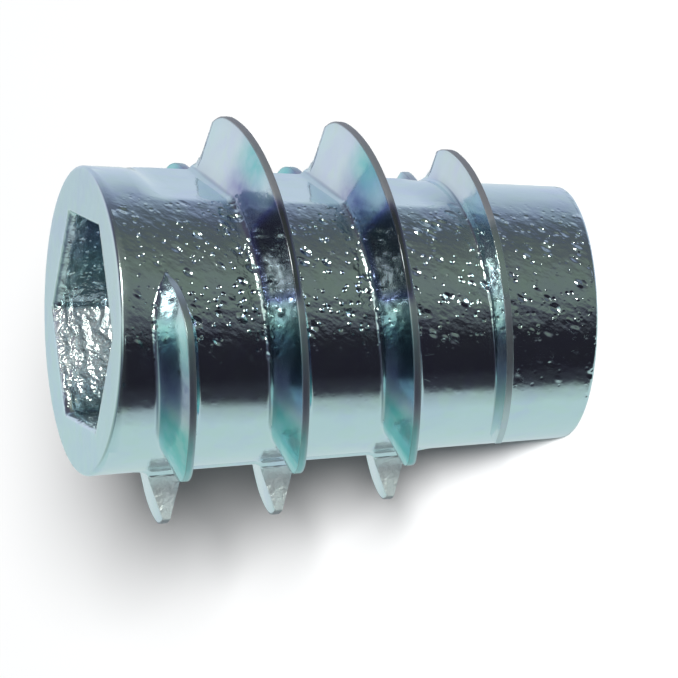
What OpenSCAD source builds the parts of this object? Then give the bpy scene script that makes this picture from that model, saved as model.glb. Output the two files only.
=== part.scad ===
/* [Body] */
// Overall length of the insert, from the tail face to the drive face
length = 15; // [14:0.5:18]
// Outside diameter of the body at the drive face
drive_d = 9.3; // [9:0.1:10]
// Outside diameter of the body at the tail face
tail_d = 7.6; // [7.2:0.1:8]
// Width of the small break on the two outer rims
rim_break = 0.12; // [0.05:0.01:0.2]

/* [Hex socket] */
// Distance across the flats of the hexagon socket
hex_af = 6; // [5.6:0.1:6.2]
// Depth of the hexagon socket below the drive face
hex_depth = 5; // [4.5:0.5:6]
// Turn of the hexagon about the axis, in degrees
hex_turn = 82; // [0:1:120]
// Width of the lead-in bevel round the mouth of the hexagon
hex_bevel = 0.12; // [0.05:0.01:0.2]

/* [Internal thread] */
// Minor diameter of the internal thread, which is the bore that is modelled
bore_d = 5; // [4.8:0.1:5.2]
// Depth of the countersink at each end of the bore
bore_sink = 0.35; // [0.2:0.05:0.5]

/* [External thread] */
// Axial advance of the coarse external thread in one turn
pitch = 3.5; // [3:0.1:4]
// Height of the fin above the body
fin_height = 1.74; // [1.2:0.02:2]
// Width of the flat land on the crest of the fin
crest_land = 0.18; // [0.1:0.01:0.3]
// How far each flank leans out between the crest and the body
flank_flare = 0.56; // [0.4:0.02:0.8]
// Extra half width of the fin where its root blends into the body
root_blend = 0.14; // [0.05:0.01:0.2]
// Distance below the drive face at which the fin first passes the front
front_drop = 1.64; // [1.5:0.02:1.9]
// Place of the nose of the fin along its winding, in degrees past the front
nose_place = -17; // [-60:1:20]
// Angle over which the nose rises, in degrees
nose_ramp = 24; // [15:1:60]
// Number of half-turn stretches of fin, from the drive end to the tail
stretches = 7; // [5:1:7]
// Place along the winding towards which the fin fades, in degrees past the front
fade_place = 1230; // [1180:10:1300]
// Angle over which the fin fades, in degrees
fade_ramp = 580; // [300:10:700]
// Place along the winding past which the fin runs out more slowly, in degrees past the front
run_out_place = 1000; // [900:10:1100]
// Axial advance of the fin in one turn past that place
run_out_pitch = 2.5; // [2:0.1:4]
// Square start of each stretch of fin, in degrees past the front or the back
stretch_from = -90; // [-92:1:-75]
// Sloping end of each stretch of fin, in degrees past the front or the back
stretch_to = 69; // [55:1:80]
// Angle over which a stretch slopes down to its end, in degrees
stretch_ramp = 24; // [15:1:40]

/* [Hidden] */

// How far the buried root of the fin reaches into the body
bury = 0.35;
// Depth below the surface at which the root blend starts, so that it cuts the surface cleanly
blend_sink = 0.12;
// Height of the root blend above the body
blend_rise = 0.2;
// Angular step between two sections of the fin, in degrees
fin_step = 6;
// Angle by which a sloping end runs on below the surface
lead = 2;
// Share of its height that the crest loses at a square start, and the angle over which it does
start_drop = 0.12;
start_ease = 12;
// Clearance by which a cut runs past the face it opens through
past = 1;

drive_r = drive_d / 2;
tail_r = tail_d / 2;
bore_r = bore_d / 2;
hex_corner_r = hex_af / sqrt(3);
// Corner radius of the bevel where its cut ends, above the drive face
bevel_top_r = (hex_af + 2 * (hex_bevel + past)) / sqrt(3);
hex_floor = length - hex_depth;
// Share of the flank's lean that is left at the top of the root blend
blend_lean = 1 - blend_rise / fin_height;

// Radius of the plain tapered body at height z
function body_r(z) = tail_r + (drive_r - tail_r) * z / length;

// Share of the full height at angle x inside a sloping end, below zero outside it
function slope(x, ramp) = x >= ramp ? 1 : x >= 0 ? sin(90 * x / ramp) : 1.5 * x / ramp;

// Share of the full height at winding angle w, leaving out the breaks at the parting lines
function long_share(w) = min(slope(w - nose_place, nose_ramp), slope(fade_place - w, fade_ramp));

// Share that the rounded crest keeps at angle x past the square start of a stretch
function start_share(x) = 1 - start_drop * pow(1 - min(1, x / start_ease), 2);

// Height of the middle of the fin at winding angle w
function fin_z(w) =
    length - front_drop - pitch * min(w, run_out_place) / 360
    - run_out_pitch * max(0, w - run_out_place) / 360;

// Half section of the fin as [half width, height above the body], root first
function half_section(share) =
    let (
        lean = max(share, 0.04),
        land = crest_land / 2 * min(1, 4 * lean),
        foot = land + flank_flare * lean + root_blend * min(1, 4 * lean),
        top = share * fin_height
    )
    [
        [foot, -bury],
        [foot, min(-blend_sink, top)],
        [land + flank_flare * lean * blend_lean, min(blend_rise * share, top)],
        [land, top]
    ];

// One section of the fin at winding angle w, in space: up the tail flank and down the drive flank
function section(w, share) =
    let (
        z = fin_z(w),
        turn = -90 - w,
        half = half_section(share),
        outline = concat([for (p = half) [-p[0], p[1]]], [for (i = [len(half) - 1:-1:0]) half[i]])
    )
    [for (p = outline) let (r = body_r(z + p[0]) + p[1]) [r * cos(turn), r * sin(turn), z + p[0]]];

// Closed surface through a row of sections
module skin(rings) {
    count = len(rings[0]);
    last = (len(rings) - 1) * count;
    sides = [
        for (a = [0:count:last - 1], j = [0:count - 1])
            let (b = a + count, k = (j + 1) % count)
            each [[a + j, b + k, a + k], [a + j, b + j, b + k]]
    ];
    // Each end is closed by pairs of triangles, from the root up to the crest
    first_end = [
        for (j = [0:count / 2 - 2])
            let (far = count - 1 - j)
            each [[j, j + 1, far], [j + 1, far - 1, far]]
    ];
    last_end = [for (face = first_end) [last + face[0], last + face[2], last + face[1]]];
    polyhedron(points = [for (ring = rings) each ring], faces = concat(first_end, sides, last_end));
}

// Stretch of fin round half a turn: it starts square at one parting line and slopes down to the next
module stretch(middle) {
    from = max(middle + stretch_from, nose_place - lead);
    end = middle + stretch_to;
    steps = ceil((end + lead - from) / fin_step);
    skin([
        for (i = [0:steps])
            let (
                w = from + (end + lead - from) * i / steps,
                share = min(long_share(w), slope(end - w, stretch_ramp))
            )
            section(w, share * start_share(w - middle - stretch_from))
    ]);
}

// Coarse knife thread that winds round the body, broken at the two parting lines
module fin() {
    for (half_turn = [0:stretches - 1]) stretch(180 * half_turn);
}

// Tapered body with its two broken rims
module body() {
    rotate_extrude($fn = 96)
        polygon([
            [0, 0],
            [tail_r - rim_break, 0],
            [body_r(rim_break), rim_break],
            [body_r(length - rim_break), length - rim_break],
            [drive_r - rim_break, length],
            [0, length]
        ]);
}

// Hexagon socket with a bevel round its mouth
module socket() {
    rotate([0, 0, hex_turn]) {
        translate([0, 0, hex_floor])
            cylinder(h = hex_depth + past, r = hex_corner_r, $fn = 6);
        translate([0, 0, length - hex_bevel])
            cylinder(h = hex_bevel + past, r1 = hex_corner_r, r2 = bevel_top_r, $fn = 6);
    }
}

// Bore of the internal thread, with a countersink at each end
module bore() {
    rotate_extrude($fn = 96)
        polygon([
            [0, -past],
            [bore_r + bore_sink + past, -past],
            [bore_r, bore_sink],
            [bore_r, hex_floor - bore_sink],
            [bore_r + bore_sink + past, hex_floor + past],
            [0, hex_floor + past]
        ]);
}

module insert() {
    color("lightsteelblue")
        difference() {
            union() {
                body();
                fin();
            }
            socket();
            bore();
        }
}

insert();
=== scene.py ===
"""Flangeless hexagon-drive threaded insert, standing on its tail face.

The CAD node gives the frame and the size; this script replaces its look with one closed casting mesh:
tapered body, knife thread with blended roots, hexagon socket and machine thread, in plated zinc.
"""
from math import atan2, ceil, cos, pi, radians, sin, sqrt, tan

import bpy
from mathutils import Matrix, Vector


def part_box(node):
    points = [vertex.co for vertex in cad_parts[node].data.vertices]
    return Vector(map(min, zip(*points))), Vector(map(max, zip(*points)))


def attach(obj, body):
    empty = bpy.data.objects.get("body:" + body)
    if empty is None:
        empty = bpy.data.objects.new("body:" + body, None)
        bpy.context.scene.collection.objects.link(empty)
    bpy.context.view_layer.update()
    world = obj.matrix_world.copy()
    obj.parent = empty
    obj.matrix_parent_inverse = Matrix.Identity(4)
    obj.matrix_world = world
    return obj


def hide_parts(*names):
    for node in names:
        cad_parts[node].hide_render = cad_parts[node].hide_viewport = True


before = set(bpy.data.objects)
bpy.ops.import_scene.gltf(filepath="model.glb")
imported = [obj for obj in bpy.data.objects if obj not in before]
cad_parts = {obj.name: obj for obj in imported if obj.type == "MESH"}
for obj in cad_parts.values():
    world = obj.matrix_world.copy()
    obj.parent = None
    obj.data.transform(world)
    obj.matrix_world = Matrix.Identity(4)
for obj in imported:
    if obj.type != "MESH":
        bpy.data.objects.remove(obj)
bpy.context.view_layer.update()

MM = 0.001
NODE = "insert"
low_corner, high_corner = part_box(NODE)
LENGTH = (high_corner[2] - low_corner[2]) / MM

# Sizes in millimetres: the CAD's, the fin a hair lower so that the mesh stays inside the CAD's box
DRIVE_R = 4.65
TAIL_R = 3.8
HEX_AF = 6.0
HEX_DEPTH = 5.0
HEX_TURN = radians(82)
BORE_R = 2.5
BORE_SINK = 0.35
PITCH = 3.5
RUN_OUT_PITCH = 2.5
FIN_HEIGHT = 1.72
CREST_LAND = 0.2
FLANK_FLARE = 0.56
FRONT_DROP = 1.64
HEX_FLOOR = LENGTH - HEX_DEPTH

# Places along the fin's winding, in degrees past the front, and angles of its slopes, as in the CAD
NOSE_PLACE = -17
NOSE_RAMP = 24
STRETCHES = 7
FADE_PLACE = 1230
FADE_RAMP = 580
RUN_OUT_PLACE = 1000
STRETCH_FROM = -90
STRETCH_TO = 69
STRETCH_RAMP = 24
START_EASE = 12
# Share of its height that the crest loses at a square start
START_DROP = 0.13

# Columns of the mesh: their step in degrees, and how far before a square start the closer ones stand,
# which carry the round root of the start
COLUMN_STEP = 1.5
START_ROOT = (12, 10, 8, 6.2, 4.6, 3.2, 2, 1, 0.4)

# Sizes in millimetres that only the visual model has
START_ROUND = 0.8
RIM_ROUND = 0.12
HEX_ROUND = 0.18
HEX_LEAD = 0.4
CREST_ROUND = 0.03
ROOT_ROUND = 0.24
SCREW_PITCH = 1.0
SCREW_MAJOR_R = 3.0
# Share of the flank's lean that the flank towards the tail has
TAIL_LEAN = 0.8
# Least share of its width that the fin's section has, where its height goes to nothing
SLIM = 0.1
# Flat along each mould parting line, between the turns of the fin: its first and last place in degrees,
# how far its proud edge stands out and the degrees that edge takes, and the drops between which it lies
TRIM_FROM = -95
TRIM_TO = -52
TRIM_PROUD = 0.07
TRIM_EDGE = 3
TRIM_TOP = 1.3
TRIM_BOTTOM = 10.8
TRIM_EASE = 0.7

# Places of the mesh's columns round the axis, in degrees past the front
PLACES = sorted(
    {COLUMN_STEP * n for n in range(round(360 / COLUMN_STEP))}
    | {start + STRETCH_FROM - before for start in (180, 360) for before in START_ROOT}
)
COLUMNS = len(PLACES)


# ---------------------------------------------------------------- shape

def body_r(z):
    """Radius of the plain tapered body at height z."""
    return TAIL_R + (DRIVE_R - TAIL_R) * z / LENGTH


def slope(x, ramp):
    """Share of the full height at angle x inside a sloping end."""
    return sin(pi / 2 * max(0.0, min(1.0, x / ramp)))


def mix(a, b, t):
    return a + (b - a) * t


def fin_size(w):
    """Shares of its full height and width that the fin has at winding angle w, and its highest point."""
    long_share = min(slope(w - NOSE_PLACE, NOSE_RAMP), slope(FADE_PLACE - w, FADE_RAMP))
    wide = max(long_share, SLIM)
    length = STRETCH_TO - STRETCH_FROM
    place = (w - STRETCH_FROM) % 180
    if w > 180 * (STRETCHES - 1) + STRETCH_TO:
        return 0.0, SLIM, 0.0
    if place <= length:
        share = min(long_share, slope(length - place, STRETCH_RAMP))
        start = 1 - START_DROP * (1 - min(1.0, place / START_EASE)) ** 2
        return share * start, max(share, SLIM), FIN_HEIGHT
    # Gap between two stretches, whose end rises in a round root to the next square start
    reach = place - (180 - START_ROOT[0])
    if reach < 0 or w > 180 * (STRETCHES - 1):
        return 0.0, mix(SLIM, wide, (place - length) / (180 - START_ROOT[0] - length)), 0.0
    share = reach / START_ROOT[0]
    return long_share * (1 - START_DROP), wide, START_ROUND * (1 - sqrt(1 - share * share)) * long_share


def fin_drop(w):
    """Distance of the middle of the fin below the drive face at winding angle w."""
    return FRONT_DROP + (PITCH * min(w, RUN_OUT_PLACE) + RUN_OUT_PITCH * max(0.0, w - RUN_OUT_PLACE)) / 360


def ease(x, start, end):
    """Smooth step from 0 at start to 1 at end."""
    t = max(0.0, min(1.0, (x - start) / (end - start)))
    return t * t * (3 - 2 * t)


def bell(x, centre, reach):
    """Smooth bump of height 1 at centre that ends at reach from it."""
    return max(0.0, 1 - ((x - centre) / reach) ** 2) ** 2


def half_turn(place):
    """Place round the axis within its half of the mould, from -90 at one parting line to 90 at the next."""
    return (place + 90) % 180 - 90


def trim(place, drop):
    """How far the trimmed flat lowers the body at a place, and below zero where it stands proud."""
    side = (place - TRIM_FROM + TRIM_EDGE) % 180 + TRIM_FROM - TRIM_EDGE
    if side >= TRIM_TO:
        return 0.0
    depth = ease(drop, TRIM_TOP, TRIM_TOP + TRIM_EASE) * ease(drop, TRIM_BOTTOM, TRIM_BOTTOM - TRIM_EASE)
    radius = body_r(LENGTH - drop)
    near = Vector((cos(radians(TRIM_TO)), sin(radians(TRIM_TO)))) * radius
    far = Vector((cos(radians(TRIM_FROM)), sin(radians(TRIM_FROM)))) * (radius + TRIM_PROUD)
    across = (far - near).normalized()
    normal = Vector((-across.y, across.x))
    chord = near.dot(normal)
    level = chord / Vector((cos(radians(side)), sin(radians(side)))).dot(normal)
    if side < TRIM_FROM:
        level = radius + TRIM_PROUD * ease(side, TRIM_FROM - TRIM_EDGE, TRIM_FROM)
    return (radius - level) * depth


def arc(centre, radius, start, end, steps):
    """Points on a circular arc in a plane, both ends included."""
    angles = [start + (end - start) * i / steps for i in range(steps + 1)]
    return [(centre[0] + radius * cos(t), centre[1] + radius * sin(t)) for t in angles]


def fin_half_profile():
    """Half section of the full fin as (distance from its middle, height), from the crest to the body."""
    lean = atan2(FLANK_FLARE, FIN_HEIGHT)
    corner = (CREST_LAND / 2 - CREST_ROUND * 0.5, FIN_HEIGHT - CREST_ROUND)
    crest = arc(corner, CREST_ROUND, pi / 2, lean, 3)
    root_at = ROOT_ROUND * tan((pi / 2 - lean) / 2)
    foot = CREST_LAND / 2 + FLANK_FLARE
    root = arc((foot + root_at, ROOT_ROUND), ROOT_ROUND, pi + lean, 1.5 * pi, 5)
    top, bottom = crest[-1], root[0]
    flank = [(mix(top[0], bottom[0], t), mix(top[1], bottom[1], t)) for t in (0.03, 0.2, 0.4, 0.6, 0.8)]
    return [(0.0, FIN_HEIGHT)] + crest + flank + root


def fin_rows(w, plain_rows=5):
    """Rows of one turn of the outer wall at winding angle w: (distance below the drive face, height)."""
    share, spread, highest = fin_size(w)
    land = CREST_LAND / 2
    middle = fin_drop(w)
    above = (middle - fin_drop(w - 360)) / 2
    below = (fin_drop(w + 360) - middle) / 2
    rows = []
    for side, reach, lean in ((-1, above, 1.0), (1, below, TAIL_LEAN)):
        half = []
        for d, h in fin_half_profile():
            wide = min(d, land) * min(1.0, 4 * spread) + max(0.0, d - land) * spread * lean
            half.append((wide, min(h * share, highest)))
        edge = half[-1][0]
        plain = [(mix(edge, reach, (i + 1) / plain_rows), 0.0) for i in range(plain_rows)]
        rows.append([(middle + side * d, h) for d, h in half + plain])
    return rows[0][::-1] + rows[1][1:-1]


def screw_rows(w):
    """Rows of one turn of the machine thread at winding angle w: (distance below the hexagon, radius)."""
    middle = SCREW_PITCH * w / 360
    crest, root = SCREW_PITCH / 8, SCREW_PITCH / 16
    mid = SCREW_MAJOR_R - 0.03
    flank = [(mix(SCREW_PITCH / 2 - crest, root, t), mix(BORE_R, mid, t)) for t in (0, 0.33, 0.67, 1)]
    upper = [(SCREW_PITCH / 2, BORE_R)] + flank + [(root * 0.5, SCREW_MAJOR_R), (0.0, SCREW_MAJOR_R)]
    lower = [(-d, r) for d, r in upper[1:-1][::-1]]
    return [(middle - d, r) for d, r in upper + lower]


def fin_finish_and_shade(w, drop, height):
    """Finish of the outer wall, with painted shade: how much it is crest, teal stain, violet stain and
    rough casting.

    Above 1 the violet value is painted shade, which turns the colour dark on the flanks of the first turns.
    """
    share = max(fin_size(w)[0], 0.05)
    up = height / (FIN_HEIGHT * share) if height > 0.02 else 0.0
    place = half_turn(w)
    crest = ease(up, 0.955, 0.99) * mix(1.0, 0.4, ease(place, -45, -5))
    on_fin = ease(up, 0.02, 0.15)
    stained = on_fin * ease(slope(FADE_PLACE - w, FADE_RAMP), 0.45, 0.9)
    # The flank towards the tail is stained less
    stained *= 0.3 if drop > fin_drop(w) else 1.0
    teal = 0.95 * ease(place, 29, 37) * ease(place, 64, 54) + 0.5 * bell(place, 8, 14)
    teal += 0.8 * bell(place, -52, 15) * ease(up, 0.3, 0.8)
    violet = 0.9 * bell(place, -47, 22) * ease(up, 0.9, 0.2)
    violet += 0.7 * bell(place, 20, 16) + 0.8 * bell(place, 62, 9)
    # Painted shade: from a winding angle of 60 degrees on, between 38 and 1 degrees before the front, the
    # colour is darkened and the crest's tint is taken off
    dark = ease(place, -38, -30) * ease(place, -1, -9) * ease(w, 60, 120)
    violet = max(min(violet, 0.95), 1.85 * dark)
    crest *= 1 - 0.85 * dark
    grain = 0.03 + 0.97 * ease(place, -60, -38) * ease(place, 21, 4)
    grain *= 1 - 0.4 * ease(drop, 2.1, 1.4) * bell(place, -5, 30)
    # The casting is rougher at the tail
    at_tail = ease(drop, LENGTH - 3.8, LENGTH - 2.4)
    grain = mix(grain, max(grain, 0.3 * ease(place, -60, -38) * ease(place, 42, 22)), at_tail)
    return crest, teal * stained, violet * stained, mix(grain, 0.04 * grain, on_fin)


def trimmed(w, height):
    """Whether the outer wall is the trimmed start of a stretch, which is coarser than the rest."""
    to_start = (w - STRETCH_FROM + START_ROOT[0]) % 180
    return 1.0 if to_start <= START_ROOT[0] and height > 0.15 else 0.0


class Shell:
    """Closed mesh made of columns round the axis: rings, and walls whose rows follow a thread.

    Each point has four values, crest, teal, violet and grain, where violet above 1 is painted shade, and
    says how trimmed and how ridged it is.
    """

    def __init__(self):
        self.points = []
        self.faces = []
        self.finish_and_shade = []
        self.trimmed = []
        self.ridged = []

    def point(self, turn, r, z, finish_and_shade, cut=0.0, ridge=0.0):
        self.points.append((r * cos(turn), r * sin(turn), z))
        self.finish_and_shade.append(finish_and_shade)
        self.trimmed.append(cut)
        self.ridged.append(ridge)
        return len(self.points) - 1

    def ring(self, radius, z, grain, finish_and_shade=None, ridge=None):
        """Ring of points; radius is a number or a function of the direction, as finish and ridge are."""
        of = radius if callable(radius) else (lambda turn: radius)
        ids = []
        for turn in map(column_turn, range(COLUMNS)):
            look = finish_and_shade(turn) if finish_and_shade else (0.0, 0.0, 0.0)
            ids.append(self.point(turn, of(turn), z, (*look, grain), 0.0, ridge(turn) if ridge else 0.0))
        return ids

    def face(self, corners):
        clean = [c for i, c in enumerate(corners) if c != corners[i - 1]]
        if len(set(clean)) > 2:
            self.faces.append(clean)

    def band(self, above, below, outward=True):
        """Faces between two rings."""
        for i in range(COLUMNS):
            j = (i + 1) % COLUMNS
            corners = [above[i], above[j], below[j], below[i]]
            self.face(corners if outward else corners[::-1])

    def wall(self, rows, radius, finish_and_shade, turns, start_z, top, bottom, outward=True):
        """Wall whose rows wind down with a thread, cut off at the rings top and bottom."""
        top_z, bottom_z = self.points[top[0]][2], self.points[bottom[0]][2]
        first, last = turns
        columns = []
        for i in range(COLUMNS + 1):
            ids = []
            for k in range(first, last + 1):
                w = 360 * (k + i // COLUMNS) + PLACES[i % COLUMNS]
                for drop, height in rows(w):
                    z = start_z - drop
                    if z >= top_z - 1e-4:
                        ids.append(top[i % COLUMNS])
                    elif z <= bottom_z + 1e-4:
                        ids.append(bottom[i % COLUMNS])
                    elif i < COLUMNS:
                        r = radius(w, drop, height)
                        cut = trimmed(w, height) if outward else 0.0
                        ids.append(self.point(column_turn(i), r, z, finish_and_shade(w, drop, height), cut))
                    else:
                        ids.append(None)
            columns.append(ids)
        # The last column is the first one, a whole turn further down the thread
        step = len(rows(0.0))
        seam, origin = columns[COLUMNS], columns[0]
        for q in range(len(seam)):
            if seam[q] is None:
                seam[q] = origin[q + step]
        for i in range(COLUMNS):
            one, two = columns[i], columns[i + 1]
            for q in range(len(one) - 1):
                corners = [one[q], two[q], two[q + 1], one[q + 1]]
                self.face(corners if outward else corners[::-1])


def column_turn(i):
    """Direction of a column: clockwise from above, so that rows wind down a right-hand thread."""
    return radians(-90 - PLACES[i])


def hex_r(offset):
    """Radius of the hexagon socket's outline, moved outward by offset, as a function of the direction."""
    def of(turn):
        side = (turn - HEX_TURN) % (pi / 3) - pi / 6
        return (HEX_AF / 2 + offset) / cos(side)
    return of


def face_finish(turn):
    """Finish of the drive face, which is greener on one side and more violet on the other."""
    crest = 0.15 * ease(-sin(turn), 0.2, 1.0)
    teal = 0.14 * ease(cos(turn), 0.4, -0.8)
    violet = 0.16 * ease(cos(turn - 0.4), -0.2, 0.9)
    return crest, teal, violet


def socket_place(turn):
    """Direction seen from the corner of the hexagon at which its torn flat starts."""
    return (turn - HEX_TURN + pi) % (2 * pi) - pi


def socket_finish(turn):
    """Finish of the hexagon's walls, stained on the flats before that corner."""
    place = socket_place(turn)
    return 0.0, 0.3 * bell(place, -0.5, 0.4), 0.75 * bell(place, -1.0, 0.8)


def socket_ridge(turn):
    """How ridged the hexagon's walls are: one of its flats is torn."""
    place = socket_place(turn)
    return 0.08 + 0.92 * ease(place, 0.0, 0.05) * ease(place, pi / 3, pi / 3 - 0.5)


def outer_r(w, drop, height):
    """Radius of the outer wall, with the trimmed flats in the body but not in the fin's crest."""
    return body_r(LENGTH - drop) + height - trim(w, drop) * (1 - height / FIN_HEIGHT)


def casting_shell():
    shell = Shell()
    # Outer wall between its two rounded rims
    drive_rim = arc((body_r(LENGTH) - RIM_ROUND, LENGTH - RIM_ROUND), RIM_ROUND, 0, pi / 2, 4)
    tail_rim = arc((TAIL_R - RIM_ROUND, RIM_ROUND), RIM_ROUND, 0, -pi / 2, 4)
    drive_rings = [shell.ring(r, z, 0.05, face_finish) for r, z in drive_rim]
    tail_rings = [shell.ring(r, z, 0.5) for r, z in tail_rim]
    shell.wall(fin_rows, outer_r, fin_finish_and_shade, (-2, 5), LENGTH, drive_rings[0], tail_rings[0])
    for low, high in zip(drive_rings, drive_rings[1:]):
        shell.band(high, low)
    for high, low in zip(tail_rings, tail_rings[1:]):
        shell.band(high, low)
    # Drive face, from the rim in to the hexagon
    face_steps = 6
    face_r = drive_rim[-1][0]
    mouth = hex_r(HEX_ROUND)
    previous = drive_rings[-1]
    for n in range(1, face_steps + 1):
        t = n / face_steps
        ring = shell.ring(lambda turn: mix(face_r, mouth(turn), t), LENGTH, 0.05, face_finish)
        shell.band(ring, previous)
        previous = ring
    # Rounded mouth and walls of the hexagon
    for across, drop in arc((1.0, 1.0), 1.0, 1.5 * pi, pi, 6)[1:]:
        ring = shell.ring(hex_r(HEX_ROUND * across), LENGTH - HEX_LEAD * drop, 0.2, ridge=socket_ridge)
        shell.band(ring, previous)
        previous = ring
    wall_steps = 14
    for n in range(1, wall_steps + 1):
        z = mix(LENGTH - HEX_LEAD, HEX_FLOOR, n / wall_steps)
        ring = shell.ring(hex_r(0), z, 0.8, socket_finish, socket_ridge)
        shell.band(ring, previous)
        previous = ring
    # Floor of the hexagon, in to the countersink of the bore
    sink_r = BORE_R + BORE_SINK
    flat = hex_r(0)
    for t in (0.33, 0.67, 1.0):
        ring = shell.ring(lambda turn: mix(flat(turn), sink_r, t), HEX_FLOOR, 0.8)
        shell.band(ring, previous)
        previous = ring
    # Machine thread, cut by a countersink at each end
    tail_mouth = shell.ring(sink_r, 0.0, 0.3)
    shell.wall(
        screw_rows,
        lambda w, drop, r: max(r, sink_r - drop, sink_r - HEX_FLOOR + drop),
        lambda w, drop, r: (0.0, 0.0, 0.0, 0.1),
        (-1, ceil(HEX_FLOOR / SCREW_PITCH)), HEX_FLOOR, previous, tail_mouth, outward=False,
    )
    # Tail face, from the bore out to the rim
    previous = tail_mouth
    for n in range(1, 4):
        ring = shell.ring(mix(sink_r, tail_rim[-1][0], n / 4), 0.0, 0.1)
        shell.band(ring, previous)
        previous = ring
    shell.band(tail_rings[-1], previous)
    return shell


def build_casting():
    shell = casting_shell()
    mesh = bpy.data.meshes.new("insert_casting")
    mesh.from_pydata([Vector(p) * MM for p in shell.points], [], shell.faces)
    # Violet above 1 in this attribute is painted shade
    finish_and_shade = mesh.color_attributes.new("finish_and_shade", "FLOAT_COLOR", "POINT")
    finish_and_shade.data.foreach_set("color", [value for point in shell.finish_and_shade for value in point])
    cut = mesh.attributes.new("trimmed", "FLOAT", "POINT")
    cut.data.foreach_set("value", shell.trimmed)
    ridge = mesh.attributes.new("ridged", "FLOAT", "POINT")
    ridge.data.foreach_set("value", shell.ridged)
    mesh.update()
    piece = bpy.data.objects.new("insert_casting", mesh)
    bpy.context.scene.collection.objects.link(piece)
    mesh.shade_smooth()
    mesh.set_sharp_from_angle(angle=radians(38))
    return piece


# ---------------------------------------------------------------- materials

class Nodes:
    """Short way to write a node tree: values and links go into the inputs in order or by name."""

    def __init__(self, tree):
        self.tree = tree
        tree.nodes.clear()

    def put(self, socket, value):
        if isinstance(value, bpy.types.NodeSocket):
            self.tree.links.new(value, socket)
        else:
            socket.default_value = value

    def add(self, kind, settings=(), **inputs):
        node = self.tree.nodes.new(kind)
        for name, value in dict(settings).items():
            setattr(node, name, value)
        for name, value in inputs.items():
            self.put(node.inputs[name.replace("_", " ")], value)
        return node

    def math(self, operation, *values):
        node = self.add("ShaderNodeMath", {"operation": operation})
        for socket, value in zip(node.inputs, values):
            self.put(socket, value)
        return node.outputs[0]

    def total(self, *values):
        result = values[0]
        for value in values[1:]:
            result = self.math("ADD", result, value)
        return result

    def span(self, value, start, end, low=0.0, high=1.0):
        """Smooth step of value from low at start to high at end."""
        node = self.add("ShaderNodeMapRange", {"interpolation_type": "SMOOTHSTEP"})
        for socket, given in zip(node.inputs, (value, start, end, low, high)):
            self.put(socket, given)
        return node.outputs[0]

    def noise(self, place, scale, detail=2.0, **more):
        node = self.add("ShaderNodeTexNoise", Vector=place, Scale=scale, Detail=detail, **more)
        return node.outputs[0]

    def blend(self, factor, one, two):
        node = self.add("ShaderNodeMix", {"data_type": "RGBA"})
        self.put(node.inputs[0], factor)
        self.put(node.inputs[6], (*one, 1) if isinstance(one, tuple) else one)
        self.put(node.inputs[7], (*two, 1) if isinstance(two, tuple) else two)
        return node.outputs[2]

    def ramp(self, place, stops):
        """Colour ramp from (place, colour) stops, the places from 0 to 1."""
        node = self.add("ShaderNodeValToRGB", Fac=place)
        elements = node.color_ramp.elements
        elements.remove(elements[-1])
        for n, (where, colour) in enumerate(stops):
            element = elements[0] if n == 0 else elements.new(where)
            element.position = where
            element.color = (*colour, 1)
        return node.outputs[0]


ZINC = (0.68, 0.82, 0.85)
ZINC_LAVENDER = (0.66, 0.77, 0.87)
ZINC_GREEN = (0.67, 0.83, 0.80)
STAIN_TEAL = (0.20, 0.64, 0.63)
STAIN_VIOLET = (0.24, 0.26, 0.50)
# Painted shade: a dark grey put on the flanks of the first turns
PAINTED_SHADE = (0.16, 0.18, 0.17)
CREST_TINT = (0.40, 0.39, 0.42)
# Painted highlight: a lighter colour put on the trimmed starts and the torn flat
TRIM_HIGHLIGHT_TINT = (0.88, 0.95, 0.96)


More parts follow.
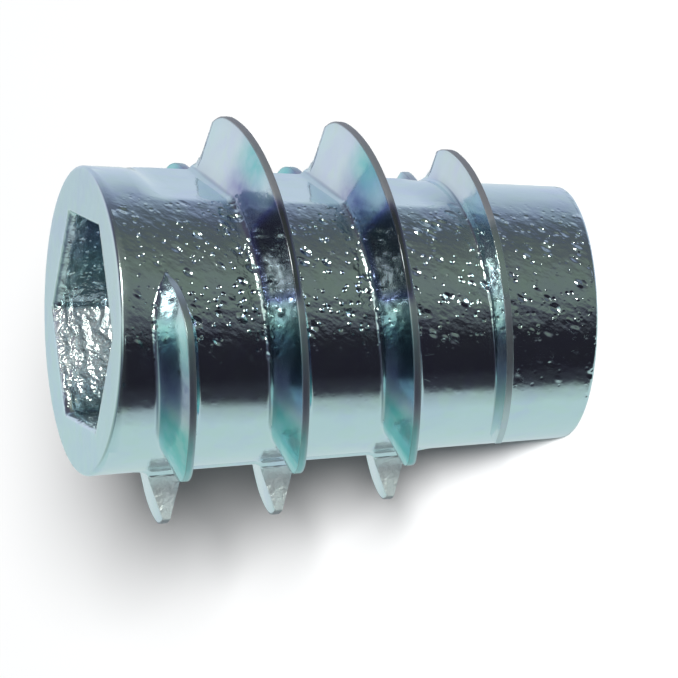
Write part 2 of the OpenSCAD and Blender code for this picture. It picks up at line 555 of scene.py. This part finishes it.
def plated_zinc():
    """Blue-white zinc plating over a die casting: pits and nodules, stains by the fin, dull crest, painted
    shade on the flanks of the first turns and a painted highlight on trimmed and torn faces.

    The mesh's attributes say where each of them is.
    """
    material = bpy.data.materials.new("plated_zinc")
    material.use_nodes = True
    n = Nodes(material.node_tree)
    place = n.add("ShaderNodeTexCoord").outputs["Object"]
    finish_and_shade = n.add("ShaderNodeAttribute", {"attribute_name": "finish_and_shade"})
    parts = n.add("ShaderNodeSeparateColor", Color=finish_and_shade.outputs["Color"]).outputs
    crest, teal, violet, grain = parts[0], parts[1], parts[2], finish_and_shade.outputs["Alpha"]
    cut = n.add("ShaderNodeAttribute", {"attribute_name": "trimmed"}).outputs["Fac"]
    ridged = n.add("ShaderNodeAttribute", {"attribute_name": "ridged"}).outputs["Fac"]

    # Places are in millimetres from here on
    mm = n.add("ShaderNodeVectorMath", {"operation": "SCALE"}, Vector=place, Scale=1000.0).outputs[0]
    wander = n.noise(mm, 0.7, 3.0)
    patch = n.noise(mm, 1.6, 2.0)
    cloud = n.noise(mm, 2.6, 4.0)

    # Colour
    colour = n.blend(n.span(wander, 0.42, 0.66), ZINC, ZINC_LAVENDER)
    colour = n.blend(n.math("MULTIPLY", n.span(patch, 0.48, 0.66), 0.6), colour, ZINC_GREEN)
    uneven = n.span(cloud, 0.3, 0.7, 0.8, 1.1)
    colour = n.blend(n.math("MULTIPLY", violet, uneven), colour, STAIN_VIOLET)
    # Painted shade: where the violet value is above 1, the colour goes towards a dark grey
    colour = n.blend(n.math("SUBTRACT", violet, 1.0), colour, PAINTED_SHADE)
    colour = n.blend(n.math("MULTIPLY", teal, uneven), colour, STAIN_TEAL)
    colour = n.blend(n.math("MULTIPLY", crest, 0.9), colour, CREST_TINT)
    # Painted highlight: the trimmed starts of the fin and the torn flat of the hexagon are made lighter in
    # colour
    highlight_mask = n.math("MAXIMUM", cut, ridged)
    colour = n.blend(n.math("MULTIPLY", highlight_mask, 0.8), colour, TRIM_HIGHLIGHT_TINT)

    # Flow marks of the casting: the pattern is drawn out along lines that wind down the body
    along = n.add("ShaderNodeSeparateXYZ", Vector=mm).outputs[2]
    twist = n.math("MULTIPLY", along, -0.09)
    wound = n.add("ShaderNodeVectorRotate", {"rotation_type": "Z_AXIS"}, Vector=mm, Angle=twist).outputs[0]
    flow = n.add("ShaderNodeVectorMath", {"operation": "MULTIPLY"})
    n.put(flow.inputs[0], wound)
    n.put(flow.inputs[1], (1.0, 1.0, 0.8))
    flow = flow.outputs[0]

    # Pits and nodules: each cell has its own size and is either a dent or a bump
    def pits(scale, depth, seed):
        cells = n.add("ShaderNodeTexVoronoi", {"feature": "F1"}, Vector=seed, Scale=scale, Randomness=1.0)
        own = n.add("ShaderNodeSeparateColor", Color=cells.outputs["Color"]).outputs
        size = n.span(own[0], 0.1, 1.0, 0.12, 0.5)
        sign = n.span(own[1], 0.58, 0.62, -1.0, 1.0)
        dome = n.span(n.math("DIVIDE", cells.outputs["Distance"], size), 0.0, 1.0, 1.0, 0.0)
        return n.math("MULTIPLY", n.math("MULTIPLY", dome, sign), n.math("MULTIPLY", size, depth))

    cast = n.total(pits(2.7, 0.15, flow), pits(5.2, 0.068, mm))

    # Softer lumps and fine grain
    lumps = n.math("MULTIPLY", n.noise(flow, 2.8, 2.0), 0.05)
    fine = n.math("MULTIPLY", n.noise(mm, 11.0, 2.0), 0.006)
    rough = n.math("MULTIPLY", n.total(cast, lumps, fine), grain)
    torn = n.math("MULTIPLY", n.math("MULTIPLY", n.noise(mm, 5.0, 3.0), 0.10), cut)
    wavy = n.math("MULTIPLY", n.noise(mm, 0.55, 1.0), 0.03)

    # Ridges of the torn flat: waves along the axis that noise bends
    bent = n.math("MULTIPLY", n.noise(mm, 1.6, 3.0), 15.0)
    swell = n.math("SINE", n.total(n.math("MULTIPLY", along, 11.0), bent))
    ridges = n.math("MULTIPLY", n.math("MULTIPLY", swell, 0.046), ridged)
    height = n.total(rough, torn, wavy, ridges)
    bump = n.add("ShaderNodeBump", Strength=1.0, Distance=0.001, Height=height).outputs[0]

    # Roughness
    dull = n.span(cloud, 0.3, 0.75, 0.09, 0.15)
    dull = n.total(dull, n.math("MULTIPLY", crest, 0.6), n.math("MULTIPLY", cut, 0.5))
    dull = n.total(dull, n.math("MULTIPLY", grain, 0.05), n.math("MULTIPLY", ridged, 0.13))
    # Worn and torn places scatter a little light
    scatter = n.math("MAXIMUM", n.math("MULTIPLY", cut, 0.038), n.math("MULTIPLY", crest, 0.03))
    metal = n.math("SUBTRACT", 1.0, n.math("MAXIMUM", scatter, n.math("MULTIPLY", ridged, 0.06)))

    shader = n.add("ShaderNodeBsdfPrincipled", Base_Color=colour, Metallic=metal, Roughness=dull)
    n.put(shader.inputs["Normal"], bump)
    n.add("ShaderNodeOutputMaterial", Surface=shader.outputs[0])
    return material


# ---------------------------------------------------------------- stage

CAMERA_TILT = radians(15.9)
CAMERA_ROLL = radians(-1.1)
CAMERA_DISTANCE = 292 * MM
CAMERA_LENS = 515
AIM_RIGHT = 0.48 * MM
AIM_DOWN = 0.68 * MM


def add_camera():
    """Long lens, tilted down at the insert and rolled so that its drive face is on the left."""
    forward = Vector((0, cos(CAMERA_TILT), -sin(CAMERA_TILT)))
    left, up = Vector((0, sin(CAMERA_TILT), cos(CAMERA_TILT))), Vector((1, 0, 0))
    right = -left * cos(CAMERA_ROLL) + up * sin(CAMERA_ROLL)
    up = left * sin(CAMERA_ROLL) + up * cos(CAMERA_ROLL)
    middle = Vector((0, 0, LENGTH / 2 * MM))
    aim = middle + right * AIM_RIGHT - up * AIM_DOWN
    camera = bpy.data.objects.new("camera", bpy.data.cameras.new("camera"))
    camera.data.lens = CAMERA_LENS
    camera.data.sensor_width = 36
    camera.data.clip_start = 0.01
    camera.data.clip_end = 10
    rotation = Matrix((right, up, -forward)).transposed()
    camera.matrix_world = Matrix.Translation(aim - forward * CAMERA_DISTANCE) @ rotation.to_4x4()
    bpy.context.scene.collection.objects.link(camera)
    bpy.context.scene.camera = camera


def add_world():
    """Studio as the plating sees it: a pale side, a dark side, and soft greys between, by heading."""
    world = bpy.data.worlds.new("studio")
    bpy.context.scene.world = world
    world.use_nodes = True
    n = Nodes(world.node_tree)
    coords = n.add("ShaderNodeTexCoord").outputs["Generated"]
    x, y, z = n.add("ShaderNodeSeparateXYZ", Vector=coords).outputs
    # Heading round the insert: 0 in front, rising towards -X
    heading = n.math("ARCTAN2", n.math("MULTIPLY", x, -1.0), n.math("MULTIPLY", y, -1.0))
    share = n.math("ADD", n.math("DIVIDE", heading, 2 * pi), 0.5)

    def degrees(stops):
        return [((heading + 180) / 360, colour) for heading, colour in stops]

    level = n.ramp(share, degrees([
        (-180, (0.62, 0.72, 0.74)),
        (-166, (0.70, 0.77, 0.84)),
        (-150, (0.64, 0.70, 0.81)),
        (-126, (0.54, 0.59, 0.68)),
        (-108, (0.32, 0.36, 0.46)),
        (-92, (0.15, 0.17, 0.22)),
        (-78, (0.10, 0.11, 0.13)),
        (-54, (0.13, 0.14, 0.13)),
        (-30, (0.19, 0.22, 0.19)),
        (-14, (0.18, 0.21, 0.185)),
        (2, (0.10, 0.10, 0.12)),
        (18, (0.022, 0.020, 0.028)),
        (50, (0.018, 0.016, 0.024)),
        (68, (0.05, 0.05, 0.065)),
        (75, (0.42, 0.50, 0.49)),
        (92, (0.58, 0.70, 0.70)),
        (140, (0.61, 0.72, 0.72)),
        (166, (0.62, 0.71, 0.72)),
        (180, (0.62, 0.72, 0.74)),
    ]))
    raised = n.ramp(share, degrees([
        (-180, (0.87, 0.94, 0.95)),
        (-162, (0.74, 0.74, 0.80)),
        (-146, (0.46, 0.46, 0.56)),
        (-124, (0.23, 0.27, 0.35)),
        (-96, (0.10, 0.09, 0.13)),
        (-60, (0.08, 0.07, 0.10)),
        (-38, (0.10, 0.09, 0.11)),
        (-16, (0.24, 0.26, 0.25)),
        (-4, (0.75, 0.80, 0.76)),
        (8, (1.00, 1.10, 1.00)),
        (20, (0.55, 0.70, 0.68)),
        (30, (0.12, 0.15, 0.20)),
        (50, (0.05, 0.045, 0.065)),
        (78, (0.12, 0.14, 0.18)),
        (100, (0.22, 0.30, 0.30)),
        (120, (0.40, 0.48, 0.47)),
        (160, (0.46, 0.54, 0.50)),
        (180, (0.87, 0.94, 0.95)),
    ]))
    room = n.blend(n.span(z, 0.25, 0.6), level, raised)
    path = n.add("ShaderNodeLightPath").outputs
    # The floor gets less of the room's light than the metal mirrors, so that the shadow stays dark
    strength = n.span(path["Is Glossy Ray"], 0.0, 1.0, 0.25, 1.0)
    back = n.add("ShaderNodeBackground", Color=room, Strength=strength)
    white = n.add("ShaderNodeBackground", Color=(1, 1, 1, 1))
    both = n.add("ShaderNodeMixShader", Fac=path["Is Camera Ray"])
    n.put(both.inputs[1], back.outputs[0])
    n.put(both.inputs[2], white.outputs[0])
    n.add("ShaderNodeOutputWorld", Surface=both.outputs[0])


def add_floor():
    """Pale floor that keeps the insert's shadow."""
    size = 0.3
    mesh = bpy.data.meshes.new("floor")
    corners = [(-size, -size, 0), (size, -size, 0), (size, size, 0), (-size, size, 0)]
    mesh.from_pydata(corners, [], [(0, 1, 2, 3)])
    floor = bpy.data.objects.new("floor", mesh)
    bpy.context.scene.collection.objects.link(floor)
    floor.visible_glossy = False
    floor.visible_shadow = False
    material = bpy.data.materials.new("floor")
    material.use_nodes = True
    n = Nodes(material.node_tree)
    paper = n.add("ShaderNodeBsdfDiffuse", Color=(0.9, 0.9, 0.9, 1))
    n.add("ShaderNodeOutputMaterial", Surface=paper.outputs[0])
    floor.data.materials.append(material)


# Slightly warm, to make up for the blue of the plating in its glints
GLINT_LAMP = (1.0, 0.98, 0.88)


def add_lamp(name, heading, elevation, distance, size, radiance, on_floor=False):
    """Oval lamp, size (wide, high), aimed at the insert; heading 0 is in front and rises towards -X.

    It is either one that the metal mirrors or one that lights the floor and casts the shadow on it.
    """
    lamp = bpy.data.lights.new(name, "AREA")
    lamp.shape = "ELLIPSE"
    lamp.size, lamp.size_y = size
    lamp.energy = radiance * pi * pi * size[0] / 2 * size[1] / 2
    lamp.color = (1, 1, 1) if on_floor else GLINT_LAMP
    holder = bpy.data.objects.new(name, lamp)
    holder.visible_glossy = not on_floor
    holder.visible_diffuse = on_floor
    heading, elevation = radians(heading), radians(elevation)
    away = Vector((-sin(heading) * cos(elevation), -cos(heading) * cos(elevation), sin(elevation)))
    holder.location = Vector((0, 0, LENGTH / 2 * MM)) + away * distance
    holder.rotation_euler = away.to_track_quat("Z", "Y").to_euler()
    bpy.context.scene.collection.objects.link(holder)


add_camera()
add_world()
add_floor()
add_lamp("window", -29, 24, 1.0, (0.26, 0.25), 26.0)
add_lamp("pane", -27, 39.5, 1.0, (0.46, 0.20), 3.8)
add_lamp("low_sun", -3.8, 15.5, 3.0, (0.33, 0.33), 1340.0, on_floor=True)

insert = build_casting()
insert.data.materials.append(plated_zinc())
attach(insert, "root")
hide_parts(NODE)

scene = bpy.context.scene
scene.view_settings.view_transform = "Standard"
